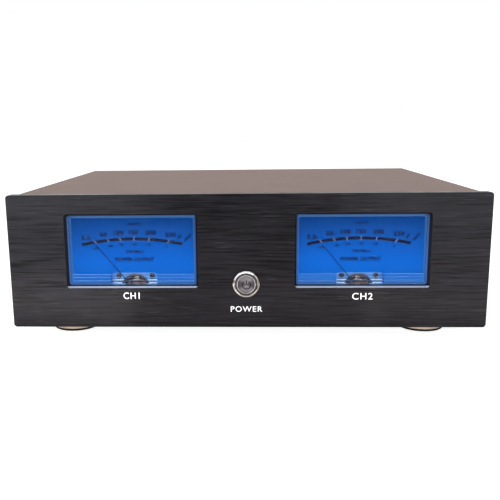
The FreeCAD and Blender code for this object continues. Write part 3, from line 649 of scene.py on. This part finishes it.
def makeLensFinish():
    # clear plastic with faint wiping haze and a painted glow on its walls, rims and ribs; lamps shine
    # through it
    finish, tree, shader, where = startFinish("lens_clear")
    haze = placeGrain(tree, where, 1.5, 30.0)["Cloudy"]
    flat = calculate(tree, "ABSOLUTE", facingWay(tree)["Y"])
    split = splitAxes(tree, where)
    apart = (meterX["right"] - meterX["left"]) / 2
    aside = distance(tree, calculate(tree, "ABSOLUTE", split["X"]), apart)
    upDown = distance(tree, split["Z"], panelFoot + lensSet["middle"] * mm)
    half, top = lensSet["cutOut"]
    rimSoft, cutSoft = lensSet["rimSoft"] * mm, lensSet["cutSoft"] * mm
    outside = stepAt(tree, aside, half * mm, cutSoft)
    higher = stepAt(tree, split["Z"], panelFoot + top * mm, cutSoft)
    beside = between(tree, calculate(tree, "MAXIMUM", outside, higher), lensSet["dimmed"], 1.0)
    sideRim = stepAt(tree, aside, lensSet["across"] * mm, rimSoft)
    longRim = stepAt(tree, upDown, lensSet["up"] * mm, rimSoft)
    rim = calculate(tree, "MAXIMUM", sideRim, longRim)
    edge = multiply(tree, rim, lensSet["rim"], beside)
    wall = calculate(tree, "MAXIMUM", ramped(tree, flat, lensSet["face"], lensSet["wall"]), edge)
    plain = blendColours(tree, haze, lensSet["clean"], lensSet["hazy"])
    ribLight = blendColours(tree, beside, black, lensSet["ribGlow"])
    edgeLight = blendColours(tree, rim, ribLight, lensSet["glow"])
    # painted glow on the walls, rims and ribs, given as emission
    fillSockets(tree, shader, {
        "Base Color": blendColours(tree, wall, plain, lensSet["tint"]),
        "Roughness": blend(tree, wall, between(tree, haze, *lensSet["rough"]), lensSet["wallRough"]),
        "Emission Color": blendColours(tree, wall, black, edgeLight),
        "Emission Strength": 1.0,
        "IOR": lensSet["index"],
        "Transmission Weight": 1.0,
    })
    clear = addNode(tree, "BsdfTransparent").outputs[0]
    passing = addNode(tree, "LightPath").outputs["Is Shadow Ray"]
    mixed = addNode(tree, "MixShader", {0: passing, 1: shader.outputs[0], 2: clear}).outputs[0]
    fillSockets(tree, tree.nodes["Material Output"], {"Surface": mixed})
    return finish


# window: heights of its lower and upper edge in mm; ramp: colours at shares of the way up between them;
# paint: how much of that colour the surface has by itself
dialGlow = {
    "window": (38.3, 102.7),
    "ramp": [(0.0, 12, 108, 210), (0.3, 6, 110, 226), (1.0, 8, 62, 132)],
    "uneven": 0.03,
    "strength": 0.64,
    "paint": (0.10, 0.16),
    "rough": (0.45, 0.60),
}


def makeDialFinish():
    # translucent blue dial, brightest low down, where the lamps stand behind it
    finish, tree, shader, where = startFinish("dial_blue")
    low, high = (panelFoot + height * mm for height in dialGlow["window"])
    share = ramped(tree, splitAxes(tree, where)["Z"], low, high)
    cloud = placeGrain(tree, where, 0.4, 60.0)
    uneven = between(tree, cloud["Cloudy"], -dialGlow["uneven"], dialGlow["uneven"])
    light = addRamp(tree, calculate(tree, "ADD", share, uneven), dialGlow["ramp"])
    fillSockets(tree, shader, {
        "Base Color": blendColours(tree, between(tree, cloud["Fine"], *dialGlow["paint"]), black, light),
        "Roughness": between(tree, cloud["Fine"], *dialGlow["rough"]),
        "Specular IOR Level": 0.0,
        "Emission Color": light,
        "Emission Strength": dialGlow["strength"],
    })
    return finish


opalSet = {"colour": linear(120, 170, 235), "base": linear(150, 180, 220), "strength": 0.5, "rough": 0.5}


def makeOpalFinish():
    # an opal sheet, lit from within
    finish, tree, shader, where = startFinish("diffuser_white")
    cloudy = placeGrain(tree, where, 0.6, 25.0)["Cloudy"]
    fillSockets(tree, shader, {
        "Base Color": blendColours(tree, cloudy, opalSet["base"], opalSet["colour"]),
        "Roughness": opalSet["rough"],
        "Emission Color": blendColours(tree, cloudy, opalSet["colour"], white),
        "Emission Strength": opalSet["strength"],
    })
    return finish


# the tracks run where a brick pattern has its joints: its scale, and how thick the joints are in its units
boardSet = {
    "scale": 260.0, "joint": 0.06, "dark": linear(12, 62, 34), "light": linear(20, 78, 44),
    "tracks": linear(44, 112, 62), "rough": (0.25, 0.40), "bump": 0.03,
}


def makeBoardFinish():
    # green solder mask with tracks under it
    finish, tree, shader, where = startFinish("board_green")
    tracks = addNode(tree, "TexBrick", {
        "Vector": where, "Scale": boardSet["scale"], "Mortar Size": boardSet["joint"],
        "Color1": black, "Color2": black, "Mortar": white,
    }).outputs["Color"]
    grain = placeGrain(tree, where, 0.3, 15.0)
    mask = blendColours(tree, grain["Cloudy"], boardSet["dark"], boardSet["light"])
    fillSockets(tree, shader, {
        "Base Color": blendColours(tree, tracks, mask, boardSet["tracks"]),
        "Roughness": between(tree, grain["Fine"], *boardSet["rough"]),
    })
    bump(tree, shader, tracks, boardSet["bump"])
    return finish


woundFinish = {"uneven": (0.7, 1.0), "rough": (0.25, 0.45), "metal": 0.0, "bump": 0.04}
woundFinishes = {
    "copper_wire": {"pitch": 0.16, "dark": linear(120, 78, 70), "light": linear(206, 152, 136),
                    "metal": 0.8},
    "winding_tape": {"pitch": 9.0, "dark": linear(150, 122, 40), "light": linear(206, 176, 74)},
}


def makeWoundFinish(name, look):
    finish, tree, shader, where = startFinish(name)
    rise = placeGroup(tree, "windings", Vector=where, Pitch=look["pitch"])["Rise"]
    grain = placeGrain(tree, where, 0.3, 6.0)
    shade = multiply(tree, rise, between(tree, grain["Cloudy"], *look["uneven"]))
    fillSockets(tree, shader, {
        "Base Color": blendColours(tree, shade, look["dark"], look["light"]),
        "Roughness": between(tree, grain["Fine"], *look["rough"]),
        "Metallic": look["metal"],
    })
    bump(tree, shader, rise, look["bump"])
    return finish


def makeFinishes():
    for make in (makeGrain, makeHairlines, makeEdgeRub, makeDust, makeTurningMarks, makeWindings):
        make()
    made = {}
    for make, common, looks in (
        (makePlainFinish, plainFinish, plainFinishes),
        (makePlainFinish, inkFinish, inkFinishes),
        (makeWoundFinish, woundFinish, woundFinishes),
    ):
        for name, look in looks.items():
            made[name] = make(name, {**common, **look})
    made["anodised_black"] = makePanelFinish()
    made["cap_steel"] = makeTurnedFinish("cap_steel", turnedFinishes["cap_steel"], middleOf("switch_body"))
    made["bezel_chrome"] = makeBezelFinish(middleOf("switch_body"))
    made["lens_clear"] = makeLensFinish()
    made["dial_blue"] = makeDialFinish()
    made["diffuser_white"] = makeOpalFinish()
    made["board_green"] = makeBoardFinish()
    print("finishes made:", len(made))
    return made


def dressNodes(finishes):
    for name, piece in nodes.items():
        if slotNames[name] == "foot_metal":
            finish = makeTurnedFinish(name + "_metal", turnedFinishes["foot_metal"], middleOf(name))
        else:
            finish = finishes[slotNames[name]]
        piece.material_slots[0].material = finish


# modelling steps that several pieces share

def bakePlace(piece, place):
    # the piece's place, turn and size go into its mesh
    piece.matrix_world = place
    bpy.ops.object.transform_apply(location=True, rotation=True, scale=True)


def makeBlock(place, size, lean=0.0):
    # size across, through and up in mm, leaning clockwise as seen from the front
    clearSelection()
    bpy.ops.mesh.primitive_cube_add(size=1.0)
    block = bpy.context.object
    scale = Matrix.Diagonal([side * mm for side in size] + [1.0])
    bakePlace(block, Matrix.Translation(place) @ Matrix.Rotation(lean, 4, "Y") @ scale)
    return block


def cutOff(point, way, beyond):
    # in edit mode: cuts all of the mesh, takes away what is on one side and closes the cut
    bpy.ops.mesh.select_all(action="SELECT")
    bpy.ops.mesh.bisect(plane_co=point, plane_no=way, use_fill=True, **{beyond: True})


def mergeDoubles(near):
    bpy.ops.mesh.select_all(action="SELECT")
    bpy.ops.mesh.remove_doubles(threshold=near)


def endEdit():
    # every face points outwards
    bpy.ops.mesh.select_all(action="SELECT")
    bpy.ops.mesh.normals_make_consistent(inside=False)
    bpy.ops.object.mode_set(mode="OBJECT")


def windUp(piece, pitch, turns, steps):
    # winds a section round the Z axis
    winding = piece.modifiers.new("winding", "SCREW")
    winding.screw_offset = pitch
    winding.iterations = turns
    winding.steps = winding.render_steps = steps
    winding.use_smooth_shade = False
    bpy.ops.object.modifier_apply(modifier="winding")
    bpy.ops.object.mode_set(mode="EDIT")


def joinPieces(name, pieces):
    clearSelection()
    for piece in pieces:
        piece.select_set(True)
    bpy.context.view_layer.objects.active = pieces[0]
    bpy.ops.object.join()
    pieces[0].name = name
    pieces[0].data.name = name
    return pieces[0]


def finishPiece(piece, name, finish, body="chassis"):
    piece.name = name
    piece.data.name = name
    piece.data.materials.clear()
    piece.data.materials.append(finish)
    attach(piece, body)


# printed words and signs

inkThick = 0.08  # in mm; half of it stands out of the surface that it is on


def printWords(words, wide, tall, place, bold=0.0, turn=0.0, behind=False, gap=1.0):
    # letters of that width and height in mm, standing upright and facing forwards (or backwards)
    clearSelection()
    bpy.ops.object.text_add()
    letters = bpy.context.object
    letters.data.body = words
    letters.data.offset = bold
    letters.data.space_character = gap
    letters.data.extrude = 0.05
    letters.data.resolution_u = 4
    bpy.ops.object.convert(target="MESH")
    letters = bpy.context.object
    bpy.ops.object.origin_set(type="ORIGIN_GEOMETRY", center="BOUNDS")
    size = letters.dimensions
    scale = Matrix.Diagonal((wide * mm / size.x, tall * mm / size.y, inkThick * mm / size.z, 1.0))
    spin = Matrix.Rotation(turn, 4, "Z")
    stand = Matrix.Rotation(math.pi / 2, 4, "X")
    face = Matrix.Rotation(math.pi if behind else 0.0, 4, "Z")
    bakePlace(letters, Matrix.Translation(place) @ face @ stand @ spin @ scale)
    return letters


# words, middle across and height above the panel's lower edge, width and height, all in mm
legendSet = {
    "legend_left": ("CH1", -104.4, 29.7, 14.7, 6.1),
    "legend_right": ("CH2", 104.2, 29.1, 18.2, 6.1),
    "legend_power": ("POWER", 0.2, 17.2, 28.6, 5.2),
}


def makeLegends(finishes):
    for name, (words, x, z, wide, tall) in legendSet.items():
        letters = printWords(words, wide, tall, spot(x, 0, z), bold=0.004, gap=1.15)
        finishPiece(letters, name, finishes["legend_white"])
    print("panel legends printed")


# the dial's print

dialSet = {
    "arc": 216.0,  # radius of the scale
    "top": 79.7,  # its highest point, above the panel's lower edge
    "band": 3.0,
    "ends": (-48.1, 45.4),  # across from the dial's middle, as the ticks are
    "spare": 4.0,  # how far the band is made past its ends, before they are cut
    "pivot": 32.3,  # height of the needle's staff
    "ticks": [-35.6, -23.6, -12.2, 0.6, 14.6, 32.4],
    "tickLong": 3.6,
    "tickWide": 0.6,
    "tickLift": 0.05,
    "gap": 1.12,  # between letters, as a share of the usual one
}
# words, middle across and height, width and height in mm, turn in degrees, boldness
dialWords = [
    ("5.0", -43.9, 80.8, 8.4, 4.4, 0, 0.048), ("50", -27.7, 84.0, 6.9, 4.4, 0, 0.048),
    ("100", -13.4, 85.4, 9.3, 4.4, 0, 0.048), ("150", 0.4, 85.8, 9.1, 4.4, 0, 0.048),
    ("200", 16.0, 85.4, 10.2, 4.4, 0, 0.048), ("250", 34.4, 83.5, 10.2, 4.4, 0, 0.048),
    ("300", 42.4, 81.4, 5.6, 2.6, 48, 0.045), ("400", 49.9, 80.5, 8.6, 2.8, 45, 0.045),
    ("-50", -35.8, 71.1, 6.0, 2.4, 0, 0.045), ("-40", -21.8, 73.0, 5.4, 2.4, 0, 0.045),
    ("-30", -11.8, 74.3, 5.4, 2.4, 0, 0.045), ("-20", 0.1, 74.8, 5.6, 2.5, 0, 0.045),
    ("-10", 13.1, 74.3, 5.4, 2.5, 0, 0.045), ("0", 30.5, 72.4, 1.9, 2.5, 0, 0.045),
    ("w", -38.4, 80.2, 2.0, 1.3, 0, 0.025), ("w", -22.5, 83.2, 2.2, 1.4, 0, 0.025),
    ("WATTS", 1.0, 93.3, 11.6, 2.4, 0, 0.055), ("DECIBELS", 1.0, 67.8, 16.3, 2.5, 0, 0.055),
    ("POWER OUTPUT", 0.5, 60.5, 36.7, 3.8, 0, 0.055),
]


def spinStrip(centre, radius, wide, thick, start, sweep, steps):
    # a flat strip bent round a centre, facing forwards; angles from straight up, clockwise as seen
    clearSelection()
    bpy.ops.mesh.primitive_plane_add(size=1.0)
    strip = bpy.context.object
    upright = Matrix.Rotation(math.pi / 2, 4, "Y")
    scale = Matrix.Diagonal((1.0, thick, wide, 1.0))
    reach = Matrix.Translation((0, 0, radius))
    turned = Matrix.Rotation(start, 4, "Y")
    bakePlace(strip, Matrix.Translation(centre) @ turned @ reach @ scale @ upright)
    bpy.ops.object.mode_set(mode="EDIT")
    bpy.ops.mesh.select_all(action="SELECT")
    bpy.ops.mesh.spin(steps=steps, angle=-sweep, center=centre, axis=(0, 1, 0))
    mergeDoubles(0.001 * mm)
    endEdit()
    return strip


def trimStrip(strip, pivot, left, right):
    # the ends are cut along lines that come from the pivot
    bpy.context.view_layer.objects.active = strip
    bpy.ops.object.mode_set(mode="EDIT")
    for end, beyond in ((left, "clear_inner"), (right, "clear_outer")):
        cutOff(pivot, (end - pivot).cross(Vector((0, -1, 0))), beyond)
    endEdit()


def makeDialPrint(side, finishes):
    plate = (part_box(side + "_dial_plate")[0].y - panelFace) / mm
    middle = meterX[side] / mm
    radius = dialSet["arc"]

    def at(x, z, lift=0.0):
        return spot(middle + x, plate - lift, z)

    def onArc(x, lift=0.0):
        return at(x, dialSet["top"] - radius + math.sqrt(radius ** 2 - x ** 2), lift)

    words = [
        printWords(text, wide, tall, at(x, z), bold, math.radians(turn), gap=dialSet["gap"])
        for text, x, z, wide, tall, turn, bold in dialWords
    ]
    pivot, centre = at(0.0, dialSet["pivot"]), at(0.0, dialSet["top"] - radius)
    left, right = dialSet["ends"]
    first = math.asin((left - dialSet["spare"]) / radius)
    last = math.asin((right + dialSet["spare"]) / radius)
    band = spinStrip(centre, radius * mm, dialSet["band"] * mm, inkThick * mm, first, last - first, 48)
    trimStrip(band, pivot, onArc(left), onArc(right))
    ink = joinPieces(side + "_dial_print", words + [band])
    finishPiece(ink, side + "_dial_print", finishes["dial_ink"])
    ticks = []
    for x in dialSet["ticks"]:
        place = onArc(x, dialSet["tickLift"])
        lean = math.atan2(x * mm, place.z - pivot.z)
        ticks.append(makeBlock(place, (dialSet["tickWide"], inkThick, dialSet["tickLong"]), lean))
    marks = joinPieces(side + "_dial_ticks", ticks)
    finishPiece(marks, side + "_dial_ticks", finishes["dial_tick"])


# sign on the switch's cap

# face: in front of the panel; reach: radius of the ring; open: its gap in degrees; bar: height and length
symbolSet = {
    "x": 0.2, "z": 40.0, "face": -1.8, "reach": 3.6, "line": 0.9, "thick": 0.1, "open": 55.0,
    "bar": (42.6, 3.8),
}


def makeSymbol(finishes):
    # an open ring and a bar, filled with dark paint
    x, face, line, thick = (symbolSet[key] for key in ("x", "face", "line", "thick"))
    gap = math.radians(symbolSet["open"] / 2)
    centre = spot(x, face, symbolSet["z"])
    sweep = 2 * math.pi - 2 * gap
    ring = spinStrip(centre, symbolSet["reach"] * mm, line * mm, thick * mm, gap, sweep, 40)
    height, tall = symbolSet["bar"]
    sign = joinPieces("power_sign", [ring, makeBlock(spot(x, face, height), (line, thick, tall))])
    finishPiece(sign, "power_sign", finishes["symbol_dark"], "power_cap")
    print("sign on the cap made")


# screws

# radius and height of the head, radius and length of the shank and its thread, all in mm
threeMm = {"head": 2.8, "tall": 1.9, "shank": 1.5, "pitch": 0.5}
screwKinds = {
    "case_screws": {**threeMm, "long": 6.0},
    "front_panel_screws": {**threeMm, "long": 7.0},
    "meter_screws": {**threeMm, "long": 9.5},
    "foot_screws": {"head": 3.6, "tall": 2.6, "shank": 2.0, "long": 10.0, "pitch": 0.7},
    "bridge_screws": {"head": 2.3, "tall": 1.4, "shank": 1.0, "long": 8.0, "pitch": 0.4},
}
# shares of the head's height: its rounded edge and the depth of the cross; shares of its radius: the cross
headShape = {"round": 0.5, "deep": 0.9, "reach": 1.15, "width": 0.26}
# shares of the pitch: the thread's depth and its crest
threadShape = {"deep": 0.5, "crest": 0.3}


def besideMeters(aside):
    return [x / mm + way * aside for x in meterX.values() for way in (-1, 1)]


# where the heads sit across, back and up, in mm and in all combinations, and which way they look
screwRows = {
    "case_screws": [
        ([-208], [45, 160, 275], [15], (-1, 0, 0)),
        ([208], [45, 160, 275], [15], (1, 0, 0)),
        ([-185, 0, 185], [rearFace], [10, 111], (0, 1, 0)),
    ],
    "front_panel_screws": [
        ([-190, 190], [11.5], [20, 100], (0, 1, 0)),
        ([-24, 24], [11.5], [96], (0, 1, 0)),
    ],
    "meter_screws": [(besideMeters(67), [14.5], [20, 102], (0, 1, 0))],
    "foot_screws": [([-168.2, 168.2], [46.5, 265], [-4], (0, 0, -1))],
    "bridge_screws": [(besideMeters(15.6), [20], [44], (0, -1, 0))],
}


def chooseCorners(piece, wanted):
    bpy.ops.object.mode_set(mode="OBJECT")
    mesh = piece.data
    for part in list(mesh.polygons) + list(mesh.edges):
        part.select = False
    for corner in mesh.vertices:
        corner.select = wanted(corner.co)
    bpy.ops.object.mode_set(mode="EDIT")


def cutBar(piece, size, place):
    # takes a bar-shaped notch out of a piece
    bpy.ops.mesh.primitive_cube_add(size=1.0, location=place)
    bar = bpy.context.object
    bar.scale = size
    cutter = piece.modifiers.new("notch", "BOOLEAN")
    cutter.operation = "DIFFERENCE"
    cutter.object = bar
    bpy.context.view_layer.objects.active = piece
    bpy.ops.object.modifier_apply(modifier="notch")
    bpy.data.objects.remove(bar)


def makeHead(size):
    clearSelection()
    radius, top = size["head"] * mm, size["tall"] * mm
    bpy.ops.mesh.primitive_cylinder_add(vertices=32, radius=radius, depth=top, location=(0, 0, top / 2))
    head = bpy.context.object
    bpy.ops.object.transform_apply(location=True)
    chooseCorners(head, lambda place: place.z > top * 0.9)
    bpy.ops.mesh.bevel(offset=top * headShape["round"], segments=4, profile=0.5)
    bpy.ops.object.mode_set(mode="OBJECT")
    reach, width, deep = radius * headShape["reach"], radius * headShape["width"], top * headShape["deep"]
    cutBar(head, (reach, width, deep), (0, 0, top))
    cutBar(head, (width, reach, deep), (0, 0, top))
    return head


def makeThread(size):
    # one turn of thread, wound down the shank and cut off square at both ends
    clearSelection()
    crest, pitch, long = size["shank"] * mm, size["pitch"] * mm, size["long"] * mm
    deep = pitch * threadShape["deep"]
    bpy.ops.mesh.primitive_plane_add(size=1.0)
    thread = bpy.context.object
    stand = Matrix.Rotation(math.pi / 2, 4, "X")
    middle = crest - deep / 2
    place = Matrix.Translation((middle, 0, -long - pitch))
    bakePlace(thread, place @ Matrix.Diagonal((deep, 1.0, pitch, 1.0)) @ stand)
    chooseCorners(thread, lambda place: place.x < middle)
    bpy.ops.mesh.delete(type="EDGE")
    chooseCorners(thread, lambda place: place.x > middle)
    narrow = (1.0, 1.0, threadShape["crest"])
    bpy.ops.transform.resize(value=narrow, center_override=(crest, 0, -long - pitch))
    bpy.ops.object.mode_set(mode="OBJECT")
    windUp(thread, pitch, math.ceil(long / pitch) + 3, 12)
    mergeDoubles(pitch * 0.02)
    for height, beyond in ((-long, "clear_inner"), (0.2 * mm, "clear_outer")):
        cutOff((0, 0, height), (0, 0, 1), beyond)
    endEdit()
    return thread


def makeScrews(finishes):
    for name, rows in screwRows.items():
        size = screwKinds[name]
        model = joinPieces(name + "_model", [makeHead(size), makeThread(size)])
        bpy.ops.object.shade_smooth_by_angle(angle=math.radians(32))
        places = [
            (spot(x, y, z), way) for across, back, up, way in rows for x in across for y in back for z in up
        ]
        screws = []
        for number, (place, way) in enumerate(places):
            screw = model.copy()
            screw.data = model.data.copy()
            bpy.context.scene.collection.objects.link(screw)
            spin = Matrix.Rotation(0.7 * number, 4, "Z")  # no two crosses stand alike
            look = Vector(way).to_track_quat("Z", "Y").to_matrix().to_4x4()
            screw.data.transform(Matrix.Translation(place) @ look @ spin)
            screws.append(screw)
        bpy.data.objects.remove(model)
        joined = joinPieces(name + "_threaded", screws)
        finishPiece(joined, name + "_threaded", finishes[slotNames[name]])
        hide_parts(name)
    print("screws made")


# the switch's return spring

# radii, pitch, and where the coil starts behind the panel's face, all in mm
springSet = {
    "coil": 4.6, "wire": 0.35, "turns": 4, "pitch": 3.0, "front": 3.5, "height": 40.6, "travel": 2.5,
}


def makeSpring(finishes):
    # wound from round wire
    clearSelection()
    wire, pitch, turns = springSet["wire"], springSet["pitch"], springSet["turns"]
    bpy.ops.mesh.primitive_circle_add(vertices=12, radius=wire * mm, fill_type="NOTHING")
    spring = bpy.context.object
    stand = Matrix.Rotation(math.pi / 2, 4, "X")
    bakePlace(spring, Matrix.Translation((springSet["coil"] * mm, 0, 0)) @ stand)
    windUp(spring, pitch * mm, turns, 32)
    mergeDoubles(0.01 * mm)
    bpy.ops.mesh.fill_holes(sides=12)
    endEdit()
    bpy.ops.object.shade_smooth_by_angle(angle=math.radians(50))
    lie = Matrix.Rotation(-math.pi / 2, 4, "X")
    spring.data.transform(Matrix.Translation(spot(0, springSet["front"], springSet["height"])) @ lie)
    slot = slotNames["switch_spring"]
    finishPiece(spring, "switch_spring_coil", finishes[slot])
    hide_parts("switch_spring")
    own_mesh(spring)
    print("spring wound")


# marks on the back

# a pair of posts and a level control for each channel: middles, heights and the sizes of the marks in mm
rearMarks = {
    "channels": {"CH1": -150.475, "CH2": -90.475}, "postsApart": 19.05,
    "signs": 48.0, "names": 42.0, "ring": 88.0, "levels": 100.5,
    "minus": (2.6, 0.6), "plus": (2.6, 2.6), "name": (8.0, 3.2), "level": (11.0, 2.6),
    "ringReach": 8.2, "stroke": (0.4, inkThick, 1.8),
}


def makeRearMarks(finishes):
    signs = []

    def printSign(words, size, x, height, **more):
        place = spot(x, rearFace, rearMarks[height])
        signs.append(printWords(words, *rearMarks[size], place, behind=True, **more))

    for name, x in rearMarks["channels"].items():
        aside = rearMarks["postsApart"] / 2
        printSign("-", "minus", x - aside, "signs")
        printSign("+", "plus", x + aside, "signs")
        printSign(name, "name", x, "names", bold=0.01, gap=1.1)
        printSign("LEVEL", "level", x, "levels", gap=1.1)
        for turn in range(-150, 151, 30):
            angle = math.radians(turn)
            way = Vector((math.sin(angle), 0, math.cos(angle)))
            place = spot(x, rearFace, rearMarks["ring"]) + way * rearMarks["ringReach"] * mm
            signs.append(makeBlock(place, rearMarks["stroke"], angle))
    marks = joinPieces("rear_marks", signs)
    finishPiece(marks, "rear_marks", finishes["legend_white"])
    print("marks on the back printed")


# building

bpy.context.scene.view_settings.view_transform = "Standard"
makeCamera()
makeWorld()
makeFloor()
makeLamps()
finishes = makeFinishes()
dressNodes(finishes)
makeLegends(finishes)
for side in ("left", "right"):
    makeDialPrint(side, finishes)
print("dials printed")
makeSymbol(finishes)
makeScrews(finishes)
makeSpring(finishes)
makeRearMarks(finishes)
